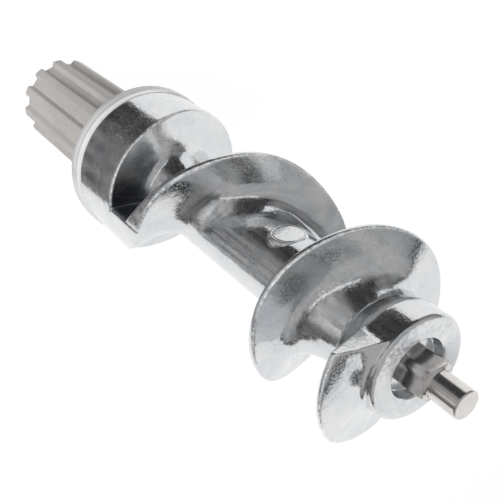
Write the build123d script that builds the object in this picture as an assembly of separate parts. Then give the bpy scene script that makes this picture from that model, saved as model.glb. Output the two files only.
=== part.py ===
from build123d import *
import math
import os

os.makedirs("parts", exist_ok=True)

# A meat grinder auger: a die-cast aluminium screw, a moulded drive sleeve on its
# tail and a steel pin at its front. Millimetres and degrees. The auger stands on
# the end of its sleeve, with its axis along Z and the pin at the top.

# Driving dimensions of the screw
outer_d = 42.0          # over the drum and the flight
core_d = 18.4           # shaft between the turns of the flight
screw_len = 107.1       # drum's back face to collar's front face
drum_base = 6.0         # plain round part of the drum behind the channel
drum_chamfer = 0.7
rim_t = 1.8             # thickness of the flight's rim
root_flare = 6.0        # how far the root of its front face stands out
rear_flare = 2.4        # and that of its rear face
front_slope = 0.10      # lean of the front face, mm per mm
rear_slope = 0.42       # lean of the rear face
collar_d = 23.0
collar_len = 6.0
collar_taper = 7.0      # length of the cone that leads up to it from the core
collar_edge = 0.8       # chamfer on the collar's front edge
recess_d = 13.0         # round recess in the collar around the pin
recess_depth = 2.6
pad_d = 7.8             # bare round pad on the side of the core
pad_at = 66.0           # its distance from the drum's back face
pad_proud = 0.2
end_tilt = 6.6          # slope of the flat that ends the flight
end_height = 7.7        # its distance from the axis
end_reach = 14.0        # how far back from the collar's face it cuts

# Driving dimensions of the drive sleeve
flange_d = 43.0
flange_t = 4.5
flange_edge = 0.7       # chamfer on the flange's edges
spline_len = 57.0
spline_tip_d = 27.8
spline_root_d = 25.6
spline_teeth = 12
spline_phase = 4.0      # turn of the first tooth from the X axis
tooth_foot = 19.0       # angle that a tooth takes at its foot
tooth_tip = 11.0        # and at its tip
tooth_lead = 1.2        # length of the chamfer on the teeth's free ends
tail_af = 15.0          # square tail of the screw inside the sleeve
tail_corner_d = 19.0    # over its rounded corners
tail_len = 59.0
corner_gap = 0.1        # room for the tail's corners in the sleeve

# Driving dimensions of the pin
bar_d = 8.0             # bar over the rounded corners of its square
bar_af = 7.0
pin_d = 6.1
pin_len = 7.2           # round pilot in front of the square
square_front = 4.6      # square's length in front of the collar
pin_root = 18.0         # length cast into the screw behind the recess
pin_chamfer = 0.35

overlap = 1.0           # how far pieces reach into each other before they are joined or cut

# The flight turns round the core from the angle where its channel starts. Before
# that angle its front edge is the edge of the drum. Each pair is a turning angle
# and the edge's distance from the drum's back face, in percent of the screw's length.
flight_end = 800
front_edge = [
    (-360, 18.0), (-305, 17.9), (-245, 14.0), (-180, 10.3), (-115, 7.4), (-90, 7.8),
    (-60, 10.9), (-35, 18.7), (-10, 29.7), (40, 36.9), (70, 42.0), (140, 50.5),
    (175, 57.4), (230, 64.5), (275, 69.5), (335, 77.1), (390, 78.2), (445, 81.9),
    (505, 85.7), (550, 86.2), (655, 93.5), (700, 96.9), (flight_end, 97.9),
]
# Thickness of the rim, in percent of rim_t.
rim_share = [(0, 400), (10, 300), (20, 217), (32, 140), (48, 106), (80, 100), (360, 83), (690, 56)]
# Flare of the front face's root, in percent of root_flare.
flare_share = [(-180, 100), (0, 83), (180, 92), (290, 150), (400, 133), (520, 92), (600, 63), (660, 33), (695, 8)]
flare_power = 4         # how suddenly the faces curve into the core
section_step = 20.0     # angle between the sections of the flight
section_points = 6      # points down each face of a section

outer_r = outer_d / 2
core_r = core_d / 2
face_depth = outer_r - core_r
base = spline_len + flange_t        # height of the drum's back face
top = base + screw_len              # height of the collar's front face


def along(table, x):
    """Value of a table at x, on a smooth curve that never overshoots its points."""
    xs = [p[0] for p in table]
    ys = [p[1] for p in table]
    if x <= xs[0]:
        return ys[0]
    if x >= xs[-1]:
        return ys[-1]
    i = max(j for j in range(len(xs) - 1) if xs[j] <= x)

    def rise(j):
        return (ys[j + 1] - ys[j]) / (xs[j + 1] - xs[j])

    def slope(j):
        if j == 0 or j == len(xs) - 1:
            return rise(min(j, len(xs) - 2))
        a, b = rise(j - 1), rise(j)
        return 0.0 if a * b <= 0 else 2 * a * b / (a + b)

    h = xs[i + 1] - xs[i]
    t = (x - xs[i]) / h
    h00 = (1 + 2 * t) * (1 - t) ** 2
    h10 = t * (1 - t) ** 2
    h01 = t * t * (3 - 2 * t)
    h11 = t * t * (t - 1)
    return h00 * ys[i] + h10 * h * slope(i) + h01 * ys[i + 1] + h11 * h * slope(i + 1)


# Depths below the rim at which a section is drawn, from outside the rim to inside the core.
depths = [(face_depth + 2 * overlap) * k / (section_points - 1) - overlap for k in range(section_points)]


def face_points(turn, edge, lean, flare):
    """Points down one face of the flight at a turning angle, from rim to root."""
    a = math.radians(180 - turn)
    points = []
    for depth in depths:
        r = outer_r - depth
        z = base + edge + lean * depth + flare * (depth / face_depth) ** flare_power
        points.append(Vector(r * math.cos(a), r * math.sin(a), z))
    return points


def front_at(turn):
    """Distance of the front edge from the drum's back face."""
    return screw_len * along(front_edge, turn) / 100


def front_face(turn):
    """The face that pushes the meat: steep, with a wide root."""
    share = along(flare_share, turn) / 100
    return face_points(turn, front_at(turn), front_slope * min(1.0, 2 * share), root_flare * share)


def rear_face(turn):
    """The face behind the rim, which leans back."""
    edge = front_at(turn) - rim_t * along(rim_share, turn) / 100
    return face_points(turn, edge, -rear_slope, -rear_flare)


def drum_back(turn):
    """Straight back of a drum section, inside the drum's round base."""
    return face_points(turn, drum_base / 2, 0, 0)


def section(back, front):
    """Closed outline in a radial plane between two faces."""
    edges = [
        Line(back[0], front[0]),
        Spline(*front),
        Line(front[-1], back[-1]),
        Spline(*back),
    ]
    return Wire([e.edge() for e in edges])


def swept(first, last, back):
    """Solid through radial sections from one turning angle to another."""
    count = round((last - first) / section_step)
    turns = [first + (last - first) * k / count for k in range(count + 1)]
    return Solid.make_loft([section(back(t), front_face(t)) for t in turns])


def rod(z, r, length):
    """Round rod on the axis, from height z upwards."""
    return Pos(0, 0, z + length / 2) * Cylinder(r, length)


def turned(points):
    """Solid turned about the axis from points of radius and height."""
    outline = Polyline(*[(r, 0, z) for r, z in points], close=True)
    return revolve(make_face(outline.edges()), Axis.Z)


def disc(z, r, length, edge):
    """Round disc on the axis, from height z upwards, with chamfered edges."""
    return turned([
        (0, z),
        (r - edge, z),
        (r, z + edge),
        (r, z + length - edge),
        (r - edge, z + length),
        (0, z + length),
    ])


def squared(z, length, af, corner_d):
    """Round bar of diameter corner_d with four flats, af across."""
    return rod(z, corner_d / 2, length) & (Pos(0, 0, z + length / 2) * Box(af, af, length))


# The pin: a squared bar whose root is cast into the screw, and a round pilot.
recess_z = top - recess_depth
square_end = top + square_front
pilot_end = square_end + pin_len
shoulder = (bar_af - pin_d) / 2
bar = squared(recess_z - pin_root, square_end - recess_z + pin_root, bar_af, bar_d)
pilot = turned([
    (0, square_end - overlap),
    (pin_d / 2 + shoulder, square_end - overlap),
    (pin_d / 2 + shoulder, square_end),
    (pin_d / 2, square_end + shoulder),
    (pin_d / 2, pilot_end - pin_chamfer),
    (pin_d / 2 - pin_chamfer, pilot_end),
    (0, pilot_end),
])
knife_pin = bar + pilot

# The screw: drum, core, collar, pad, square tail and flight, cast as one piece.
drum = turned([
    (0, base),
    (outer_r - drum_chamfer, base),
    (outer_r, base + drum_chamfer),
    (outer_r, base + drum_base),
    (0, base + drum_base),
])
core = rod(base + drum_base / 2, core_r, screw_len - collar_len / 2 - drum_base / 2)
collar = turned([
    (0, top - collar_len - collar_taper),
    (core_r, top - collar_len - collar_taper),
    (collar_d / 2, top - collar_len),
    (collar_d / 2, top - collar_edge),
    (collar_d / 2 - collar_edge, top),
    (0, top),
])
tail = squared(base - tail_len, tail_len + drum_base / 2, tail_af, tail_corner_d)
pad = Pos(0, (core_r + pad_proud) / 2, base + pad_at) * Rot(X=90) * Cylinder(pad_d / 2, core_r + pad_proud)
recess = rod(recess_z, recess_d / 2, recess_depth + overlap)
auger_casting = drum + core + collar + tail + pad - recess - knife_pin

envelope = rod(base, outer_r, screw_len)
end_cut = Rot(Z=-end_tilt) * Pos(-outer_r / 2, end_height + outer_r, top) * Box(3 * outer_r, outer_d, 2 * end_reach)
quarter = flight_end / 4
for first, last in [(-360, -180), (-180, 0)]:
    auger_casting += swept(first, last, drum_back) & envelope
for k in range(3):
    auger_casting += swept(k * quarter, (k + 1) * quarter, rear_face) & envelope
auger_casting += (swept(3 * quarter, flight_end, rear_face) & envelope) - end_cut

# The drive sleeve: splined bush and flange, moulded in one piece.
root_r = spline_root_d / 2
tip_r = spline_tip_d / 2
corners = [
    (root_r - overlap, -tooth_foot / 2),
    (root_r, -tooth_foot / 2),
    (tip_r, -tooth_tip / 2),
    (tip_r, tooth_tip / 2),
    (root_r, tooth_foot / 2),
    (root_r - overlap, tooth_foot / 2),
]
tooth = make_face(Polyline(
    *[(r * math.cos(math.radians(a)), r * math.sin(math.radians(a))) for r, a in corners],
    close=True).edges())
profile = Circle(root_r)
for k in range(spline_teeth):
    profile += Rot(Z=spline_phase + 360 * k / spline_teeth) * tooth
spline = extrude(profile, base - flange_t / 2)
lead = turned([
    (0, 0),
    (root_r, 0),
    (tip_r, tooth_lead),
    (tip_r + overlap, tooth_lead),
    (tip_r + overlap, base),
    (0, base),
])
flange = disc(base - flange_t, flange_d / 2, flange_t, flange_edge)
socket = squared(-overlap, base + 2 * overlap, tail_af, tail_corner_d + 2 * corner_gap)
drive_sleeve = (spline & lead) + flange - socket

for name, body in [
    ("auger_casting", auger_casting),
    ("drive_sleeve", drive_sleeve),
    ("knife_pin", knife_pin),
]:
    export_step(body, "parts/" + name + ".step")
    print(name, len(body.solids()), round(body.volume), body.is_valid, body.bounding_box())
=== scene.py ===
# %% [markdown]
# # A meat grinder auger
# The object is the feed screw of a kitchen meat grinder. A die-cast aluminium screw carries a
# moulded grey drive sleeve on its tail and a steel pin at its front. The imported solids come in
# first, because they fix the place and size of everything that follows.

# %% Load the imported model
import bmesh
import bpy
import numpy as np
from mathutils import Matrix, Vector

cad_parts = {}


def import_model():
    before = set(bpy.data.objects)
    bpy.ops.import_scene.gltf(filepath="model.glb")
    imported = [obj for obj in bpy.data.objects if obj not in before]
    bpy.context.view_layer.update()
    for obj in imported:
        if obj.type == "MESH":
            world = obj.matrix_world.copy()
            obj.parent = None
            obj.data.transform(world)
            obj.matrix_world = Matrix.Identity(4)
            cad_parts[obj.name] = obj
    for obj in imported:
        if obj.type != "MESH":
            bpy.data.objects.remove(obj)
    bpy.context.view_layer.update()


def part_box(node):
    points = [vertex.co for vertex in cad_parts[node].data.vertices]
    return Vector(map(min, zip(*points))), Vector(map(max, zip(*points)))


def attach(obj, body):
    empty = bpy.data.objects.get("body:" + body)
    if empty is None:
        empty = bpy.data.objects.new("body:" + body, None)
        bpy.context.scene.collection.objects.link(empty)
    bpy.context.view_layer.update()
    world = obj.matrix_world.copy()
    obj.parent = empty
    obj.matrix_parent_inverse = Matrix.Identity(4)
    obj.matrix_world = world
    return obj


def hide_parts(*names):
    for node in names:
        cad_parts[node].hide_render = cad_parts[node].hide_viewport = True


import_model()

MM = 0.001

# %% [markdown]
# ## Sizes
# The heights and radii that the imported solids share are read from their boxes, so this script
# follows the model. Only what a box can't tell, such as the thickness of the flight, is written
# here. All lengths are in millimetres until a mesh is made.

# %% Sizes from the frame
screw_lo, screw_hi = [np.array(corner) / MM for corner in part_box("auger_casting")]
_, sleeve_hi = [np.array(corner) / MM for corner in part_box("drive_sleeve")]
pin_lo, pin_hi = [np.array(corner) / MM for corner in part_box("knife_pin")]
base = sleeve_hi[2]             # drum's back face
top = screw_hi[2]               # collar's front face
screw_len = top - base
outer_r = round(screw_hi[0], 1)
flange_r = round(sleeve_hi[0], 1)
print("screw", round(screw_len, 2), "radius", outer_r, "flange", flange_r, "pin end", pin_hi[2])

# %% Sizes of the screw
core_r = 9.2            # shaft between the turns of the flight
face_depth = outer_r - core_r
rim_t = 1.8             # thickness of the flight's rim
root_flare = 6.0        # how far the root of its front face stands out
rear_flare = 2.4        # and that of its rear face
front_slope = 0.10      # lean of the front face, mm per mm
rear_slope = 0.42       # lean of the rear face
flare_power = 6         # how suddenly the faces curve into the core
drum_chamfer = 0.7
collar_r = 11.5
collar_len = 6.0
collar_taper = 7.0      # length of the step that leads up to it from the core
collar_round = 1.0      # rounding of its front edge
recess_r = 6.5          # round recess in the collar, around the pin
recess_depth = 2.6
recess_round = 0.5      # rounding of its edge
recess_fillet = 0.6     # and of the corner at its floor
recess_z = top - recess_depth
pad_r = 3.9             # bare round pad on the side of the core
pad_at = 66.0           # its distance from the drum's back face
pad_proud = 0.08
end_tilt = np.radians(6.6)      # slope of the flat that ends the flight
end_height = 7.7        # its distance from the axis
tail_af = 15.0          # square tail inside the sleeve, across its flats
tail_corner_r = 9.5     # and to its rounded corners
axis_r = 0.001          # radius of the last ring where a face closes on an axis
print("faces of the flight", round(face_depth, 2), "deep, collar", collar_r, "recess", recess_r)

# %% [markdown]
# ## The law of the flight
# The flight is not a plain helix. Its pitch shortens towards the front, and its edge runs steeper
# and flatter twice in each turn, because the two halves of the casting die had to part. So the
# height of its front edge is a short table over the turning angle. Before angle zero the same
# line is the front edge of the drum, out of which the flight grows.

# %% Tables of the flight
flight_end = 800        # turning angle at which the flight ends
# Turning angles with the edge's distance from the drum's back face, in percent of the screw's length.
front_edge = [
    (-360, 18.0), (-305, 17.9), (-245, 14.0), (-180, 10.3), (-115, 7.4), (-90, 7.8),
    (-60, 10.9), (-35, 18.7), (-10, 29.7), (40, 36.9), (70, 42.0), (140, 50.5),
    (175, 57.4), (230, 64.5), (275, 69.5), (335, 77.1), (390, 78.2), (445, 81.9),
    (505, 85.7), (550, 86.2), (655, 93.5), (700, 96.9), (flight_end, 97.9),
]
# Turning angles with percents of the rim's thickness, of the root's flare and of the worn slope.
rim_share = [(0, 400), (10, 300), (20, 217), (32, 140), (48, 106), (80, 100), (360, 83), (690, 56)]
flare_share = [
    (-180, 100), (0, 83), (180, 92), (290, 150), (400, 133), (520, 92), (600, 63), (660, 33), (695, 8),
]
worn_share = [(682, 0), (704, 100), (750, 100)]
worn_width = 4.6        # how far the worn slope reaches in from the rim
worn_slope = 0.13
worn_soft = 1.5         # how softly it ends


def along(table, x):
    """Monotone cubic through a table: each stretch is a Hermite curve whose end slopes are the
    harmonic means of the rises on both sides, so that it never overshoots its points."""
    xs, ys = np.array(table, float).T
    rise = np.diff(ys) / np.diff(xs)
    left, right = rise[:-1], rise[1:]
    same_way = left * right > 0
    mean = 2 * left * right / np.where(same_way, left + right, 1.0)
    slope = np.concatenate(([rise[0]], np.where(same_way, mean, 0.0), [rise[-1]]))
    x = np.clip(x, xs[0], xs[-1])
    i = np.clip(np.searchsorted(xs, x, side="right") - 1, 0, len(xs) - 2)
    h = np.diff(xs)[i]
    t = (x - xs[i]) / h
    start = (1 + 2 * t) * (1 - t) ** 2 * ys[i] + t * (1 - t) ** 2 * h * slope[i]
    end = t * t * (3 - 2 * t) * ys[i + 1] + t * t * (t - 1) * h * slope[i + 1]
    return start + end


def soft_min(a, b, k):
    """The smaller of two depths. Where they differ by less than k, a quarter of k times the square
    of what is left of that room is taken off, which rounds the corner between them."""
    room = np.maximum(k - np.abs(a - b), 0) / k
    return np.minimum(a, b) - room * room * k / 4


def soft_max(a, b, k):
    """The larger of two depths, with the corner between them filled the same way."""
    return -soft_min(-a, -b, k)


def edge_height(turn):
    """Height of the front edge at a turning angle."""
    return base + screw_len * along(front_edge, turn) / 100


def front_height(turn, depth):
    """Height of the face that pushes the meat, at a depth below the rim: the edge, plus a lean in
    proportion to the depth, plus a flare that grows with the sixth power of the depth. Near its
    end the face falls away to the rim by a further slope over the first few millimetres."""
    share = along(flare_share, turn) / 100
    lean = front_slope * np.minimum(1.0, 2 * share)
    worn = along(worn_share, turn) / 100 * worn_slope * soft_min(depth, worn_width, worn_soft)
    flare = root_flare * share * (depth / face_depth) ** flare_power
    return edge_height(turn) + lean * depth + worn + flare


def rear_height(turn, depth):
    """Height of the face behind the rim: the edge less the rim's thickness, leaning back, and with
    a smaller flare of the same power."""
    rim = rim_t * along(rim_share, turn) / 100
    flare = rear_flare * (depth / face_depth) ** flare_power
    return edge_height(turn) - rim - rear_slope * depth - flare


print("edge at quarter turns", np.round(edge_height(np.arange(-360, flight_end + 1, 90.0)) - base, 1))

# %% [markdown]
# ## The screw as one radius
# Seen from its axis, the screw has one radius for each turning angle and height: no part of it
# overhangs, because it had to leave its die. So the whole casting can be one function. It could
# be made from separate lofts and rounded with bevels, but here each part is a signed depth inside
# the metal, and a soft minimum or maximum joins them. A soft minimum rounds the outer edges, and
# a soft maximum gives the fillets that a casting has at the foot of its flight.

# %% The solid as a function
edge_soft = 0.65        # how round the rims are
flat_soft = 0.35        # and the edges of the flat that ends the flight
flat_from = 650         # turning angle from which that flat cuts
root_least = 1.2        # fillet of the roots, and what a full flare adds to it
root_more = 1.4
wall_soft = 0.5         # rounding where the channel starts
wall_at = 0.6           # metal in front of the plane where the channel starts
wall_until = -330       # turning angle up to which that wall is looked for
outside = 1.0           # how far outside the metal the search for its surface starts
halvings = 36           # steps of that search


def flight_depth(turn, r, z):
    """Depth inside the flight at one turn: below its front face, above its rear face, inside its
    rim, and under the flat that cuts off its end. Before angle zero it is the drum, without a
    rear face, and past the end there is none."""
    depth = outer_r - r
    front = soft_min(front_height(turn, depth) - z, depth, edge_soft)
    rear = soft_min(z - rear_height(turn, depth), depth, edge_soft)
    flat = end_height - r * np.sin(np.radians(180 - turn) + end_tilt)
    front = np.where(turn > flat_from, soft_min(front, flat, flat_soft), front)
    rear = np.where(turn > flat_from, soft_min(rear, flat, flat_soft), rear)
    inside = np.where(turn < 0, front, np.minimum(front, rear))
    return np.where(turn > flight_end, -face_depth, inside)


def shaft_radius(z):
    """Radius of the core and of the collar in front of it, with a smooth step between them."""
    rise = np.clip((z - top + collar_len + collar_taper) / collar_taper, 0, 1)
    return core_r + (collar_r - core_r) * rise * rise * (3 - 2 * rise)


def root_fillet(turn):
    """Softness of the join of a flight with the core: the more its root flares, the wider."""
    return root_least + root_more * np.minimum(1, along(flare_share, turn) / 100)


def screw_depth(turn, r, z):
    """Depth inside the whole screw between the front edge at a turn and the edge one turn later."""
    metal = soft_max(shaft_radius(z) - r, flight_depth(turn, r, z), root_fillet(turn))
    metal = soft_max(metal, flight_depth(turn + 360, r, z), root_fillet(turn + 360))
    wall = soft_min(wall_at - r * np.sin(np.radians(turn + 360)), outer_r - r, wall_soft)
    wall = soft_min(wall, front_height(turn + 360, outer_r - r) - z, edge_soft)
    return np.where(turn < wall_until, soft_max(metal, wall, wall_soft), metal)


def solve(inside, lo, hi):
    """The value between lo and hi at which inside falls through zero, by halving the interval."""
    for _ in range(halvings):
        mid = (lo + hi) / 2
        yes = inside(mid) > 0
        lo = np.where(yes, mid, lo)
        hi = np.where(yes, hi, mid)
    return (lo + hi) / 2


# %% [markdown]
# ## A grid that follows the flight
# A plain grid of angle and height would cut the thin rims to pieces. This grid turns with the
# flight: each row is one turning angle, and runs from the front edge at that angle, down its front
# face, along the core, up the rear face of the next turn and over its rim. Rows are closer where
# the channel starts and where the flight ends.

# %% Rows and heights of the grid
turn_rows = np.concatenate([
    np.arange(0, 8, 0.25),
    np.arange(8, 24, 1.0),
    np.arange(24, 64, 0.5),
    np.arange(64, 80, 1.0),
    np.arange(80, 360, 2.0),
])
rows = np.concatenate([turn_rows - 360, turn_rows, turn_rows + 360, turn_rows + 720])
rows = np.append(rows[rows < flight_end], float(flight_end))
front_count = 24        # points down the front face
channel_count = 24      # along the core
rear_count = 20         # up the rear face
rim_count = 10          # and over the rim
crowding = 1.4          # power that draws the points of a face towards its rim
least_room = 0.3        # room left between two faces that meet before they reach the core
print("rows", len(rows), "of", front_count + channel_count + rear_count + rim_count - 1, "points")


def eased(count):
    """Shares from 0 to 1, closer together at both ends: half of one minus the cosine of even steps
    over half a turn. The first one is left out."""
    return (1 - np.cos(np.linspace(0, np.pi, count)[1:])) / 2


def band_heights(turn):
    """Heights along each row. Both faces are sampled by their depth below the rim, as deep as the
    core or as where they meet, and closer together near the rim."""
    turn = turn[:, None]
    deepest = solve(lambda d: rear_height(turn + 360, d) - front_height(turn, d) - least_room,
                    np.zeros_like(turn), np.full_like(turn, face_depth))
    down = deepest * np.linspace(0, 1, front_count) ** crowding
    up = deepest * np.linspace(1, 0, rear_count) ** crowding
    front = front_height(turn, down)
    rear = rear_height(turn + 360, up)
    across = np.linspace(0, 1, channel_count + 2)[1:-1]
    channel = front[:, -1:] + (rear[:, :1] - front[:, -1:]) * across
    end = edge_height(turn + 360)
    rim = rear[:, -1:] + (end - rear[:, -1:]) * eased(rim_count)
    return np.maximum.accumulate(np.hstack([front, channel, rear, rim]), axis=1)


# %% [markdown]
# ## From arrays to a mesh
# One function turns grids of points into a mesh. Grids that share a border are merged there, and
# every piece keeps its object at the origin with its place in the mesh.

# %% Grids to objects
merge = 0.004           # points closer than this become one
sliver = 0.001          # edges shorter than this are dissolved


def grid_quads(shape, start):
    """Corner numbers of the quads of a grid of points, first index along the rows."""
    number = start + np.arange(shape[0] * shape[1]).reshape(shape)
    corners = [number[:-1, :-1], number[:-1, 1:], number[1:, 1:], number[1:, :-1]]
    return np.stack(corners, -1).reshape(-1, 4)


def round_points(turn, r, z):
    """Points from turning angle, radius and height. Seen from the pin, the angle runs clockwise
    from -X."""
    a = np.radians(180 - turn)
    return np.stack(np.broadcast_arrays(r * np.cos(a), r * np.sin(a), z), -1)


def turned(turn, profile):
    """A list of radii and heights turned round the axis. Each of them is a number, or a column with
    its own value at each angle."""
    r = np.hstack([np.broadcast_to(radius, (len(turn), 1)) for radius, _ in profile])
    z = np.hstack([np.broadcast_to(height, (len(turn), 1)) for _, height in profile])
    return round_points(turn[:, None], r, z)


def arc(centre, radius, first, last, count=7):
    """Points of a round stretch in a profile, angles in degrees from the outward radius."""
    a = np.radians(np.linspace(first, last, count))
    return [(centre[0] + radius * np.cos(x), centre[1] + radius * np.sin(x)) for x in a]


def make_piece(name, grids):
    """One smooth mesh object, in metres, from grids of points in millimetres."""
    points = np.concatenate([g.reshape(-1, 3) for g in grids]) * MM
    starts = np.cumsum([0] + [g.shape[0] * g.shape[1] for g in grids])
    quads = np.concatenate([grid_quads(g.shape[:2], s) for g, s in zip(grids, starts)])
    mesh = bpy.data.meshes.new(name)
    mesh.from_pydata(points, [], quads)
    work = bmesh.new()
    work.from_mesh(mesh)
    bmesh.ops.remove_doubles(work, verts=work.verts, dist=merge * MM)
    bmesh.ops.dissolve_degenerate(work, edges=work.edges, dist=sliver * MM)
    work.to_mesh(mesh)
    work.free()
    mesh.shade_smooth()
    piece = bpy.data.objects.new(name, mesh)
    bpy.context.collection.objects.link(piece)
    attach(piece, "root")
    print(name, len(mesh.vertices), "points", len(mesh.polygons), "faces")
    return piece


# %% [markdown]
# ## The casting
# Three grids make the visible outside: the drum's wall, the long band that winds round the core,
# and the ring of the collar in front of the last turn. Where two of them meet, one takes over the
# points of the other, so no slit is left. Turned profiles close the ends.

# %% Outside of the casting
drum_rows = rows[rows <= 0]
ring_rows = rows[rows >= flight_end - 360]
chamfer_heights = np.array([0.0, 0.12, 0.35, 0.6, 0.85, 1.2])
wall_count = 22         # rows of points from the chamfer up to the channel's start
print("rows of the drum", len(drum_rows), "and of the collar's ring", len(ring_rows))


def drum_wall():
    """The drum from its back face to its front edge: its radius, with a chamfer at the back. Above
    the height where the channel starts it takes the heights of the band's first row, so that the
    points on both sides of that start are the same."""
    turn = drum_rows[:, None]
    rise = eased(wall_count)
    edge = edge_height(turn)
    step = np.minimum(edge, edge[0])
    start = band_heights(rows[:1])
    share = (start - start[:, :1]) / (start[:, -1:] - start[:, :1])
    low = np.broadcast_to(base + chamfer_heights, (len(turn), len(chamfer_heights)))
    z = np.hstack([
        low,
        low[:, -1:] + (step - low[:, -1:]) * rise,
        step + (edge - step) * share[:, 1:],
    ])
    chamfer = outer_r - drum_chamfer + (z - base)

    def inside(r):
        front = soft_min(front_height(turn, outer_r - r) - z, outer_r - r, edge_soft)
        return soft_min(front, chamfer - r, wall_soft)

    r = solve(inside, np.full_like(z, core_r), np.full_like(z, outer_r + outside))
    # At the first angle all points above the channel's start fall together, so they share a radius.
    start_at = len(chamfer_heights) + len(rise) - 1
    r[0] = r[-1, np.minimum(np.arange(r.shape[1]), start_at)]
    return round_points(turn, r, z)


def skin(turn, z):
    """Points at the radius where the metal ends, at each turning angle and height."""
    turn = np.broadcast_to(turn[:, None], z.shape)
    nearest = np.full_like(z, core_r - outside)
    farthest = np.full_like(z, outer_r + outside)
    return round_points(turn, solve(lambda r: screw_depth(turn, r, z), nearest, farthest), z)


# %% Ends of the casting
last_edge = float(edge_height(float(flight_end)))
ring_heights = np.tile(np.linspace(last_edge, top - collar_round, 6), (len(ring_rows), 1))
pin_floor_r = 3.0       # ring of the recess's floor that the pin hides
face_profile = (
    arc((collar_r - collar_round, top - collar_round), collar_round, 0, 90)
    + arc((recess_r + recess_round, top - recess_round), recess_round, 90, 180, 5)
    + arc((recess_r - recess_fillet, recess_z + recess_fillet), recess_fillet, 0, -90, 5)
    + [(pin_floor_r, recess_z), (axis_r, recess_z)]
)
tail_lead = 0.5         # length of the chamfer on the tail's end
tail_end_share = 0.94   # size of the tail's end face, as a share of the tail
bar_soft = 0.2          # rounding between the flats and the round of a squared bar
print("last edge", round(last_edge, 2), "collar face", round(top, 2))


def squared_radius(turn, half, corner):
    """Radius of a round bar with four flats: the nearer of the flat and the round."""
    a = np.radians(180 - turn)
    flat = half / np.maximum(np.abs(np.cos(a)), np.abs(np.sin(a)))
    return soft_min(flat, corner, bar_soft)


def tail_points():
    """The square tail inside the sleeve, from its end up to the drum, and the drum's back face."""
    r = squared_radius(drum_rows[:, None], tail_af / 2, tail_corner_r)
    end = screw_lo[2]
    return turned(drum_rows, [
        (0.0, end),
        (r * tail_end_share, end),
        (r, end + tail_lead),
        (r, base),
        (outer_r - drum_chamfer, base),
    ])


# %% The pad
pad_groove = [(0.64, 0.0), (0.54, 0.03), (0.45, 0.10), (0.35, 0.10), (0.26, 0.03), (0.16, 0.0)]
pad_round = 0.4         # rounding of the pad's rim
pad_round_at = 0.12     # distance of its centre from the rim
pad_skirt = 1.2         # how far the skirt runs out beyond the rim
pad_foot = 1.5          # and how deep its foot lies in the core


def pad_points():
    """The bare round pad on the side of the core: a flat disc with a fine groove near its rim, and
    a sloping skirt that runs down into the core. It closes on its own axis at both ends."""
    profile = [(axis_r, pad_proud)]
    profile += [(out, pad_proud) for out in np.linspace(0.6, pad_r - 0.8, 6)]
    profile += [(pad_r - inward, pad_proud - deep) for inward, deep in pad_groove]
    profile += arc((pad_r - pad_round_at, pad_proud - pad_round), pad_round, 90, 35, 5)
    profile += [(pad_r + pad_skirt, -pad_foot), (axis_r, -pad_foot)]
    out, up = np.array(profile).T
    a = np.radians(np.linspace(360, 0, 97))[:, None]
    points = np.broadcast_arrays(out * np.cos(a), core_r + up, base + pad_at + out * np.sin(a))
    return np.stack(points, -1)


# %% The casting as one mesh
wall = drum_wall()
band = skin(rows, band_heights(rows))
band[0, :, 0] = np.interp(band[0, :, 2], wall[-1, :, 2], wall[-1, :, 0])
band[:-len(turn_rows), -1] = band[len(turn_rows):, 0]
wall[:, -1] = band[:len(wall), 0]
ring = skin(ring_rows, ring_heights)
ring[:, -1:] = turned(ring_rows, face_profile[:1])
screw = make_piece("cast_screw", [
    wall,
    band,
    ring,
    turned(ring_rows, face_profile),
    tail_points(),
])
pad = make_piece("core_pad", [pad_points()])
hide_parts("auger_casting")

# %% [markdown]
# ## The drive sleeve
# The sleeve is moulded in grey plastic. Its splines take the gearbox's turning force, its flange
# closes the back of the barrel, and the screw's square tail sits in its socket. At each angle its
# section is one closed outline, so one grid that winds once round that outline makes it all.

# %% The sleeve
tip_r = 13.9
root_r = 12.4
teeth = 12
tooth_phase = np.radians(4.0)   # turn of the first tooth from the X axis
tooth_foot = np.radians(18.0)   # angle that a tooth takes at its foot
tooth_tip = np.radians(11.0)    # and at its tip
tooth_soft = 0.4        # rounding of its corners
tooth_lead = 0.5        # rounding of its free end
corner_gap = 0.1        # room for the tail's corners
socket_edge = [(0.0, 0.5), (0.15, 0.12), (0.5, 0.0)]    # outward from the socket's wall, and height
end_face_r = root_r - 0.6
flange_t = 4.5
flange_round = 0.8
flange_fillet = 0.6     # where the splines meet the flange
split = 2.7             # mould's parting line, above the flange's back
split_groove = [(-0.34, 0.0), (-0.22, 0.03), (-0.08, 0.14), (0.08, 0.14), (0.22, 0.03), (0.34, 0.0)]
sleeve_steps = 576      # steps round the axis


def spline_radius(turn):
    """Radius of the splines: a trapezoid tooth at each step of angle, with soft corners."""
    step = 2 * np.pi / teeth
    off = np.abs((np.radians(180 - turn) - tooth_phase + step / 2) % step - step / 2)
    flank = root_r + (tip_r - root_r) * (tooth_foot / 2 - off) / (tooth_foot / 2 - tooth_tip / 2)
    return soft_max(soft_min(flank, tip_r, tooth_soft), root_r, tooth_soft)


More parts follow.
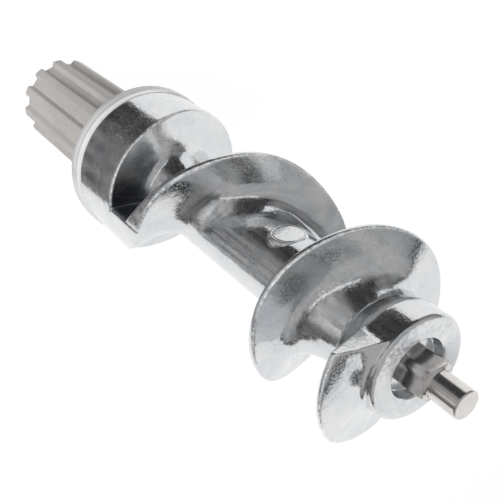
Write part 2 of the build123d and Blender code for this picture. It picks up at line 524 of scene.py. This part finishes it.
def sleeve_points():
    """The section at each angle: down the socket, across the free end, up the splines, out along
    the flange's back, round its edge with the fine groove where the mould parts, and in along its
    front."""
    turn = np.linspace(0, 360, sleeve_steps + 1)
    hole = squared_radius(turn[:, None], tail_af / 2, tail_corner_r + corner_gap)
    tooth = spline_radius(turn[:, None])
    back = base - flange_t
    inner = flange_r - flange_round
    profile = [(hole, base)]
    profile += [(hole + outward, height) for outward, height in socket_edge]
    profile += [(hole + (end_face_r - hole) * s, 0.0) for s in (0.4, 0.8)]
    profile += [(tooth - tooth_lead * (1 - np.sin(a)), tooth_lead * (1 - np.cos(a)))
                for a in np.linspace(0, np.pi / 2, 6)]
    profile += [(tooth, height) for height in np.linspace(tooth_lead, back - flange_fillet, 9)[1:]]
    profile += [(tooth + flange_fillet * (1 - np.cos(a)), back - flange_fillet * (1 - np.sin(a)))
                for a in np.radians([30, 60, 90])]
    profile += [(tooth + (inner - tooth) * s, back) for s in (0.3, 0.65)]
    profile += arc((inner, back + flange_round), flange_round, -90, 0)
    profile += [(flange_r - deep, back + split + up) for up, deep in split_groove]
    profile += arc((inner, base - flange_round), flange_round, 0, 90)
    profile += [(hole, base)]
    return turned(turn, profile)


sleeve = make_piece("grey_sleeve", [sleeve_points()])
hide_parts("drive_sleeve")

# %% [markdown]
# ## The pin
# A round steel bar is cast into the screw. Its front end has four milled flats that drive the
# knife, and a turned pilot that runs in the hole plate. One grid of angle and length makes it:
# the radius is that of the squared bar up to the shoulder, and that of the pilot beyond it.

# %% The pin
bar_r = 4.2             # bar, to the rounded corners of its square
bar_half = 3.5          # half of the square, across its flats
bar_bevel = 0.15        # bevel on the corners at the square's front
pilot_r = 3.05
pilot_len = 7.2
pilot_round = 0.35      # rounding of its end
pin_steps = 240         # steps round the axis


def pin_points():
    """Squared bar, shoulder, round pilot and its rounded end, closed on the axis. Rings lie close to
    each edge, so that the smooth shading keeps it crisp."""
    turn = np.linspace(0, 360, pin_steps + 1)
    square = squared_radius(turn[:, None], bar_half, bar_r)
    shoulder = bar_half - pilot_r
    end = pin_hi[2]
    front = end - pilot_len
    tip_face_r = pilot_r - pilot_round
    profile = [(axis_r, pin_lo[2]), (square, pin_lo[2])]
    profile += [(square, height) for height in np.linspace(recess_z - 1, front - 0.2, 8)]
    profile += [(np.minimum(square, bar_r - bar_bevel * s), front - bar_bevel * (1 - s))
                for s in (0, 0.25, 0.6, 1)]
    profile += [(np.minimum(square, bar_half), front + 0.01)]
    profile += [(bar_half - shoulder * s, front + 0.02 + shoulder * s) for s in (0.1, 0.5, 0.9)]
    profile += [(pilot_r, front + shoulder + s) for s in (0.06, 0.3)]
    profile += [(pilot_r, height) for height in np.linspace(front + 1.5, end - pilot_round - 0.1, 6)]
    profile += arc((tip_face_r, end - pilot_round), pilot_round, 0, 90)
    profile += [(tip_face_r * s, end) for s in (0.97, 0.6, 0.3)]
    profile += [(axis_r, end)]
    return turned(turn, profile)


pin = make_piece("steel_pin", [pin_points()])
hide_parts("knife_pin")

# %% [markdown]
# ## Materials
# Colours are written as sRGB hex values, and one function turns them to linear numbers. One small
# function adds a node, sets it and links it, so that a material reads as a short list. A pattern's
# scale comes from a size in millimetres.

# %% Helpers for materials
COLOUR_A = 6            # numbers of a Mix node's two colour inputs
COLOUR_B = 7
COLOUR_OUT = 2          # and of its colour output


def linear(hex_colour):
    """Linear RGBA from an sRGB hex value, by the curve of that standard."""
    s = np.array([int(hex_colour[i:i + 2], 16) for i in (1, 3, 5)]) / 255
    rgb = np.where(s <= 0.04045, s / 12.92, ((s + 0.055) / 1.055) ** 2.4)
    return (*[float(v) for v in rgb], 1.0)


def add(tree, kind, inputs=(), **settings):
    """One node with its settings. Its inputs are given in their order, or by name or number. Each
    takes a value, another node's first output, or a pair of a node and one of its outputs."""
    node = tree.nodes.new(kind)
    for name, value in settings.items():
        setattr(node, name, value)
    pairs = inputs.items() if isinstance(inputs, dict) else enumerate(inputs)
    for socket, value in pairs:
        source, output = value if isinstance(value, tuple) and len(value) == 2 else (value, 0)
        if isinstance(source, bpy.types.Node):
            tree.links.new(source.outputs[output], node.inputs[socket])
        else:
            node.inputs[socket].default_value = value
    return node


def bare_material(name):
    """A material with an empty tree."""
    material = bpy.data.materials.new(name)
    material.use_nodes = True
    material.node_tree.nodes.clear()
    return material, material.node_tree


def per_mm(size):
    """Scale of a noise texture on Object coordinates, in metres, for cells of that many mm."""
    return 1 / (size * MM)


def axis_distance(tree, place):
    """Distance from the auger's axis: the length of the place with its height taken out."""
    level = add(tree, "ShaderNodeVectorMath", [place, (1, 1, 0)], operation="MULTIPLY")
    return add(tree, "ShaderNodeVectorMath", [level], operation="LENGTH"), "Value"


# %% [markdown]
# ### Die-cast aluminium
# The screw came out of a steel die and was tumbled. The faces of the flight stay cloudy, the rims
# are nicked, the drum's wall is rubbed, the rear of the flight was never polished, and the collar's
# front is a matt face. The corner where the channel starts is painted dark grey: painted shade for
# the shade that the channel's walls throw there. The mesh already knows where each of these is from
# the direction and the place of its points. An attribute keeps each one, and the material reads it.

# %% Where the casting is cloudy, worn or dull
def ramp(x, first, last):
    """Rises smoothly from 0 at first to 1 at last."""
    t = np.clip((x - first) / (last - first), 0, 1)
    return t * t * (3 - 2 * t)


def read_points(mesh, name):
    """One vector for each point of a mesh, as rows of an array."""
    flat = np.empty(3 * len(mesh.vertices), np.float32)
    mesh.vertices.foreach_get(name, flat)
    return flat.reshape(-1, 3)


def keep_values(mesh, name, values):
    """A number for each point of a mesh, under a name that a material can read."""
    mesh.attributes.new(name, "FLOAT", "POINT").data.foreach_set("value", values.astype(np.float32))


x, y, height = read_points(screw.data, "co").T / MM
forward = read_points(screw.data, "normal")[:, 2]
reach = np.hypot(x, y)
turn = np.degrees(np.arctan2(y, -x)) % 360
rounded = ramp(forward, 0.15, 0.35) * ramp(forward, 0.97, 0.85)
collar_face = ramp(height, top - 0.3, top - 0.1) * ramp(forward, 0.9, 0.97)
shaded_corner_height = ramp(height, base + 18.5, base + 19.3) * ramp(height, base + 32, base + 28)
marks = {
    # What looks forward, such as the front faces of the flight.
    "face": ramp(forward, 0.45, 0.85),
    # The rounded edges at the rims.
    "edge": ramp(reach, outer_r - 1.1, outer_r - 0.6) * rounded,
    # What looks backward, and the collar's front.
    "dull": ramp(-forward, 0.2, 0.6) + collar_face,
    # The collar's front alone.
    "faced": collar_face,
    # The corner where the channel starts, inside the drum's wall, which gets painted shade.
    "corner": ramp(turn, 34, 8) * ramp(reach, outer_r - 0.1, outer_r - 0.6) * shaded_corner_height,
    # The outside of the drum and of the flight's rim.
    "wall": ramp(reach, outer_r - 0.5, outer_r - 0.2) * ramp(np.abs(forward), 0.4, 0.2),
}
for name, values in marks.items():
    keep_values(screw.data, name, values)
print("marked points", {name: int((values > 0.5).sum()) for name, values in marks.items()})

# %% [markdown]
# The finish is mostly in the normals: fine pits break up the reflections and slow waves bend them.
# Roughness wanders over a few millimetres, and is highest on the rear faces, which no tumbling
# stone could reach. Specks of oxide and the scratched rims scatter light instead of mirroring it,
# so there the surface is less metallic. A hairline runs along the core where the die halves met.

# %% Die-cast aluminium
seam_at = np.radians(151.0)     # direction of the hairline on the core
rear_rough = 0.38
edge_rough = 0.20


def cast_aluminium():
    """Bright, slightly cool metal whose clear reflections are bent, pitted and dusty."""
    material, tree = bare_material("die_cast_aluminium_tumbled")
    place = (add(tree, "ShaderNodeTexCoord"), "Object")
    face, edge, rear, wall, faced, corner = [
        (add(tree, "ShaderNodeAttribute", attribute_name=name), "Fac")
        for name in ("face", "edge", "dull", "wall", "faced", "corner")
    ]
    # Sizes in mm. Real pits and specks are near 0.1 mm, and are drawn as coarse as they need to show.
    patterns = [(7.0, 5.0, 0.65), (2.6, 3.0, 0.55), (0.9, 4.0, 0.7), (0.38, 3.0, 0.7), (0.3, 3.0, 0.7)]
    cloud, wave, nick, pit, speck = [
        add(tree, "ShaderNodeTexNoise",
            {"Vector": place, "Scale": per_mm(size), "Detail": detail, "Roughness": roughness})
        for size, detail, roughness in patterns
    ]

    shade = add(tree, "ShaderNodeMapRange", [cloud, 0.35, 0.68, 0.0, 1.0])
    tint = add(tree, "ShaderNodeMix",
               {0: shade, COLOUR_A: linear("#d1d4d8"), COLOUR_B: linear("#e4e4e3")}, data_type="RGBA")
    # Painted shade: the corner where the channel starts is darkened towards #7f8185.
    tone = add(tree, "ShaderNodeMix",
               {0: corner, COLOUR_A: (tint, COLOUR_OUT), COLOUR_B: linear("#7f8185")}, data_type="RGBA")

    smooth = add(tree, "ShaderNodeMapRange", [cloud, 0.35, 0.65, 0.05, 0.17])
    cloudy = add(tree, "ShaderNodeMapRange", [cloud, 0.35, 0.65, 0.06, 0.16])
    rough = add(tree, "ShaderNodeMix", {0: face, 2: smooth, 3: cloudy})
    rough = add(tree, "ShaderNodeMix", {0: rear, 2: rough, 3: rear_rough})
    rough = add(tree, "ShaderNodeMix", {0: edge, 2: rough, 3: edge_rough})

    thin = add(tree, "ShaderNodeMapRange", [cloud, 0.40, 0.62, 0.06, 0.26])
    thick = add(tree, "ShaderNodeMapRange", [cloud, 0.36, 0.62, 0.20, 0.62])
    film = add(tree, "ShaderNodeMix", {0: wall, 2: thin, 3: thick})
    specks = add(tree, "ShaderNodeMapRange", [speck, 0.50, 0.70, 0.0, 1.0])
    dust = add(tree, "ShaderNodeMath", [specks, film], operation="MULTIPLY")
    nicks = add(tree, "ShaderNodeMapRange", [nick, 0.38, 0.62, 0.1, 0.6])
    scratched = add(tree, "ShaderNodeMath", [edge, nicks], operation="MULTIPLY")
    matt = add(tree, "ShaderNodeMath", [faced, nicks], operation="MULTIPLY")
    dull = add(tree, "ShaderNodeMath", [dust, scratched], operation="MAXIMUM")
    dull = add(tree, "ShaderNodeMath", [dull, matt], operation="MAXIMUM")
    bright = add(tree, "ShaderNodeMath", [1.0, dull], operation="SUBTRACT", use_clamp=True)

    part = add(tree, "ShaderNodeSeparateXYZ", [place])
    angle = add(tree, "ShaderNodeMath", [(part, "Y"), (part, "X")], operation="ARCTAN2")
    away = add(tree, "ShaderNodeMath", [angle, seam_at], operation="SUBTRACT")
    away = add(tree, "ShaderNodeMath", [away], operation="ABSOLUTE")
    line = add(tree, "ShaderNodeMapRange", [away, 0.006, 0.022, 1.0, 0.0])
    core_only = [axis_distance(tree, place), (core_r + 0.3) * MM, (core_r + 1.0) * MM, 1.0, 0.0]
    core = add(tree, "ShaderNodeMapRange", core_only)
    seam = add(tree, "ShaderNodeMath", [line, core], operation="MULTIPLY")

    bent = add(tree, "ShaderNodeBump", {"Height": wave, "Strength": 0.45, "Distance": 0.14 * MM})
    lined = add(tree, "ShaderNodeBump",
                {"Height": seam, "Normal": bent, "Strength": 0.5, "Distance": 0.1 * MM})
    pits = add(tree, "ShaderNodeMapRange", [pit, 0.28, 0.46, 0.0, 1.0])
    pitted = add(tree, "ShaderNodeBump",
                 {"Height": pits, "Normal": lined, "Strength": 0.5, "Distance": 0.02 * MM})
    shader = add(tree, "ShaderNodeBsdfPrincipled", {
        "Base Color": (tone, COLOUR_OUT),
        "Roughness": rough,
        "Metallic": bright,
        "Normal": pitted,
    })
    add(tree, "ShaderNodeOutputMaterial", {"Surface": shader})
    return material


# %% [markdown]
# ### Moulded plastic and turned steel
# The plastic is a warm grey, a little uneven, and paler and glossier on the flange, which is thin.
# The pin was turned, so its marks are rings: noise that is squeezed along the axis.

# %% Moulded plastic and turned steel
flange_gloss = 0.22     # roughness that rubbing took off the flange
ring_squeeze = (0.06, 0.06, 1.0)


def grey_plastic():
    """Satin grey with a faint grain, and a paler, smoother flange."""
    material, tree = bare_material("moulded_grey_plastic")
    place = (add(tree, "ShaderNodeTexCoord"), "Object")
    uneven = add(tree, "ShaderNodeTexNoise",
                 {"Vector": place, "Scale": per_mm(4.0), "Detail": 4.0, "Roughness": 0.6})
    # The mould's real grain is under 0.1 mm, and is drawn coarser so that it shows.
    grain = add(tree, "ShaderNodeTexNoise",
                {"Vector": place, "Scale": per_mm(0.25), "Detail": 3.0, "Roughness": 0.6})
    flange_only = [axis_distance(tree, place), (tip_r + 0.6) * MM, (tip_r + 2.6) * MM, 0.0, 1.0]
    flange = add(tree, "ShaderNodeMapRange", flange_only)

    shade = add(tree, "ShaderNodeMapRange", [uneven, 0.3, 0.7, 0.0, 1.0])
    body = add(tree, "ShaderNodeMix",
               {0: shade, COLOUR_A: linear("#c3bfbb"), COLOUR_B: linear("#cdcac6")}, data_type="RGBA")
    pale = add(tree, "ShaderNodeMix",
               {0: shade, COLOUR_A: linear("#d2d3d4"), COLOUR_B: linear("#dadada")}, data_type="RGBA")
    tone = add(tree, "ShaderNodeMix",
               {0: flange, COLOUR_A: (body, COLOUR_OUT), COLOUR_B: (pale, COLOUR_OUT)}, data_type="RGBA")

    rough = add(tree, "ShaderNodeMapRange", [uneven, 0.3, 0.7, 0.36, 0.46])
    gloss = add(tree, "ShaderNodeMath", [flange, flange_gloss], operation="MULTIPLY")
    rough = add(tree, "ShaderNodeMath", [rough, gloss], operation="SUBTRACT")
    bump = add(tree, "ShaderNodeBump", {"Height": grain, "Strength": 0.25, "Distance": 0.03 * MM})
    shader = add(tree, "ShaderNodeBsdfPrincipled",
                 {"Base Color": (tone, COLOUR_OUT), "Roughness": rough, "Normal": bump})
    add(tree, "ShaderNodeOutputMaterial", {"Surface": shader})
    return material


def pin_steel():
    """Warm grey metal with soft reflections and fine rings."""
    material, tree = bare_material("turned_stainless_steel")
    place = (add(tree, "ShaderNodeTexCoord"), "Object")
    stain = add(tree, "ShaderNodeTexNoise",
                {"Vector": place, "Scale": per_mm(2.2), "Detail": 4.0, "Roughness": 0.6})
    # Real rings are near 0.1 mm apart, and are drawn a little coarser so that they show.
    squeeze = add(tree, "ShaderNodeVectorMath", [place, ring_squeeze], operation="MULTIPLY")
    rings = add(tree, "ShaderNodeTexNoise",
                {"Vector": squeeze, "Scale": per_mm(0.16), "Detail": 3.0, "Roughness": 0.6})
    shade = add(tree, "ShaderNodeMapRange", [stain, 0.3, 0.7, 0.0, 1.0])
    tone = add(tree, "ShaderNodeMix",
               {0: shade, COLOUR_A: linear("#cfcbc8"), COLOUR_B: linear("#e0dedc")}, data_type="RGBA")
    rough = add(tree, "ShaderNodeMapRange", [stain, 0.3, 0.7, 0.15, 0.24])
    bump = add(tree, "ShaderNodeBump", {"Height": rings, "Strength": 0.3, "Distance": 0.012 * MM})
    shader = add(tree, "ShaderNodeBsdfPrincipled",
                 {"Base Color": (tone, COLOUR_OUT), "Metallic": 1.0, "Roughness": rough, "Normal": bump})
    add(tree, "ShaderNodeOutputMaterial", {"Surface": shader})
    return material


screw.data.materials.append(cast_aluminium())
pad.data.materials.append(screw.data.materials[0])
sleeve.data.materials.append(grey_plastic())
pin.data.materials.append(pin_steel())
print("materials", [m.name for m in bpy.data.materials])

# %% [markdown]
# ## Camera
# The camera stands where the photograph was taken from. The auger stands upright in its own
# frame, so the camera is turned about its line of sight until the pin points down to the right.

# %% Camera
# Place in metres, directions and focal length in millimetres, as fitted to the photograph.
camera_at = (-0.08805, 0.09368, 0.24394)
camera_right = (0.83064, 0.0, 0.55681)
camera_up = (0.29017, 0.85348, -0.43286)
camera_back = (-0.47523, 0.52112, 0.70893)
camera_data = bpy.data.cameras.new("photo_camera")
camera_data.lens = 55.79
camera_data.sensor_width = 36.0
camera_data.clip_start = 0.005
camera = bpy.data.objects.new("photo_camera", camera_data)
turn_to = Matrix((camera_right, camera_up, camera_back)).transposed().to_4x4()
camera.matrix_world = Matrix.Translation(camera_at) @ turn_to
bpy.context.collection.objects.link(camera)
bpy.context.scene.camera = camera
print("camera", camera.name, "lens", round(camera_data.lens, 2))

# %% [markdown]
# ## Stage and light
# Bare metal has hardly a colour of its own: it shows what stands round it. So the studio is built
# as a photographer builds it, with a white floor, a tent that is white on the far side and grey
# behind the camera, dark cards on the table, and two soft lamps. Tent and cards are seen only by
# reflections, so every view keeps the plain white background.

# %% Floor and world
white = linear("#ffffff")
floor_half = 1500.0
floor_glow = 1.02       # brightness of the paper where it is seen
floor_share = 0.94      # how much of what is seen glows, and so takes no shadow
world_level = 0.22      # light that comes from everywhere


def shown(tree):
    """One for rays from the camera, and for those that metal or glass sends on."""
    path = add(tree, "ShaderNodeLightPath")
    seen = add(tree, "ShaderNodeMath", [(path, "Is Camera Ray"), (path, "Is Glossy Ray")],
               operation="MAXIMUM")
    return add(tree, "ShaderNodeMath", [seen, (path, "Is Transmission Ray")], operation="MAXIMUM")


def stage_piece(name, points, quads, material):
    """An object of the stage from points in millimetres."""
    mesh = bpy.data.meshes.new(name)
    mesh.from_pydata(points.reshape(-1, 3) * MM, [], quads)
    mesh.materials.append(material)
    piece = bpy.data.objects.new(name, mesh)
    bpy.context.collection.objects.link(piece)
    return piece


def floor():
    """White paper under the object. It takes the shadow, looks white in the picture, and throws
    only a little light back up, as if the object lay on a clear sheet above it."""
    material, tree = bare_material("white_paper")
    seen = shown(tree)
    share = add(tree, "ShaderNodeMath", [seen, floor_share], operation="MULTIPLY")
    tone = add(tree, "ShaderNodeMix",
               {0: seen, COLOUR_A: linear("#9a9a9a"), COLOUR_B: linear("#f4f4f4")}, data_type="RGBA")
    paper = add(tree, "ShaderNodeBsdfDiffuse", {"Color": (tone, COLOUR_OUT)})
    glow = add(tree, "ShaderNodeEmission", {"Color": white, "Strength": floor_glow})
    mixed = add(tree, "ShaderNodeMixShader", [share, paper, glow])
    add(tree, "ShaderNodeOutputMaterial", {"Surface": mixed})
    corners = floor_half * np.array([(-1, -1, 0), (1, -1, 0), (1, 1, 0), (-1, 1, 0)])
    stage_piece("floor", corners, [(0, 1, 2, 3)], material)


def world():
    """White to the camera and in metal, and a plain level of light for everything else."""
    bpy.context.scene.world = bpy.data.worlds.new("studio")
    bpy.context.scene.world.use_nodes = True
    tree = bpy.context.scene.world.node_tree
    tree.nodes.clear()
    strength = add(tree, "ShaderNodeMath", [shown(tree), world_level], operation="MAXIMUM")
    light = add(tree, "ShaderNodeBackground", {"Color": white, "Strength": strength})
    add(tree, "ShaderNodeOutputWorld", {"Surface": light})


# %% Tent and cards for the reflections
tent_r = 600.0
tent_middle = 110.0     # height of the tent's centre
white_side = (-48.0, -30.0)     # compass angle and elevation of the middle of its white side
darkest = 0.05
lamp_aim = 0.09         # height that the lamps are turned to, in metres


def screen(name, points, level):
    """A curved screen that only reflections see, with its own level of light at each point."""
    material, tree = bare_material(name)
    own = add(tree, "ShaderNodeAttribute", attribute_name="level")
    glow = add(tree, "ShaderNodeEmission", {"Color": white, "Strength": (own, "Fac")})
    add(tree, "ShaderNodeOutputMaterial", {"Surface": glow})
    piece = stage_piece(name, points, grid_quads(points.shape[:2], 0), material)
    keep_values(piece.data, "level", level.ravel())
    for ray in ("camera", "diffuse", "transmission", "volume_scatter", "shadow"):
        setattr(piece, "visible_" + ray, False)


def pointing(compass, up):
    """Unit vectors from compass angles and elevations in degrees."""
    a, e = np.radians(compass), np.radians(up)
    return np.stack(np.broadcast_arrays(np.cos(e) * np.cos(a), np.cos(e) * np.sin(a), np.sin(e)), -1)


def tent():
    """A dome round the object. Its light depends on the angle from the middle of the white side:
    white up to nearly a right angle, then a dark gap, then the uneven grey of a room, made of two
    waves. The room is darker low down, most of all on both sides of the camera, and a narrow lamp
    runs along below the camera."""
    compass, up = np.meshgrid(np.arange(-180, 181, 2.0), np.arange(-12, 91, 1.5), indexing="ij")
    way = pointing(compass, up)
    away = np.degrees(np.arccos(way @ pointing(*white_side)))
    edge = 83 - 8 * ramp(compass, -30, 10) - 9 * ramp(compass, -75, -100) * ramp(up, 5, 20)
    edge = edge - 4 * ramp(np.abs(compass + 66), 16, 6) * ramp(up, 30, 45)
    lit = ramp(away, edge + 2, edge - 2)
    gap = ramp(away, edge + 14, edge + 3) * (0.35 + 0.65 * ramp(compass, 20, -20))
    low = ramp(up, 42, 24)
    right = ramp(np.abs(compass - 95), 45, 25) * ramp(up, 35, 10)
    left = ramp(np.abs(compass + 165), 40, 15) * ramp(up, 45, 20)
    strip = ramp(np.abs(compass - 130), 48, 42) * ramp(np.abs(up - 27), 4, 2)
    room = np.sin(np.radians(11 * compass + 5 * up)) * np.sin(np.radians(9 * up - 4 * compass))
    level = 0.43 + 0.07 * room - 0.34 * gap - 0.21 * low - 0.08 * right - 0.14 * left + 0.9 * strip
    level = np.maximum(level, darkest) * (1 - lit) + lit
    screen("tent", tent_r * way + np.array([0, 0, tent_middle]), level)


def table_cards():
    """Cards on the table before the object, which curve up at their far edge: a dark one, a paler
    one that brightens outwards, and a dim one with a bright slit in its dark back. Their right side
    runs in as they go out, and two waves make their light uneven."""
    out = np.concatenate([np.arange(24.0, 150.0, 6.0), [150.0, 190.0, 230.0, 260.0]])[None, :]
    first = 82 - 20 * ramp(out, 60, 260)
    compass = first + (213 - first) * np.linspace(0, 1, 121)[:, None]
    pale = ramp(compass, 112, 146) * ramp(compass, 200, 174)
    dim = ramp(compass, 170, 195)
    back = ramp(out, 186, 206)
    slit = back * ramp(out, 236, 224) * ramp(np.abs(compass - 180), 14, 7)
    uneven = np.sin(np.radians(17 * compass)) * np.sin(out / 11)
    level = darkest + pale * (0.12 + 0.25 * ramp(out, 60, 230)) + dim * (0.08 + 0.2 * ramp(out, 65, 105))
    level = level * (1 + 0.5 * uneven) * (1 - 0.6 * back * dim) + 0.6 * slit
    points = out[..., None] * pointing(compass, 0.0)
    points[..., 2] = np.interp(out, [150.0, 230.0, 260.0], [1.0, 60.0, 210.0])
    screen("table_cards", points, level)


def soft_lamp(name, compass, up, distance, size, watts):
    """A square area lamp at a compass angle and elevation, turned to the object's middle."""
    data = bpy.data.lights.new(name, "AREA")
    data.size = size
    data.energy = watts
    lamp = bpy.data.objects.new(name, data)
    way = Vector(pointing(compass, up))
    lamp.location = way * distance + Vector((0, 0, lamp_aim))
    lamp.rotation_euler = way.to_track_quat("Z", "Y").to_euler()
    lamp.visible_glossy = False
    bpy.context.collection.objects.link(lamp)


floor()
world()
tent()
table_cards()
soft_lamp("front_lamp", compass=164.0, up=48.0, distance=0.6, size=0.2, watts=3.8)
soft_lamp("back_lamp", compass=8.0, up=22.0, distance=0.6, size=0.2, watts=2.6)
bpy.context.scene.view_settings.view_transform = "Standard"
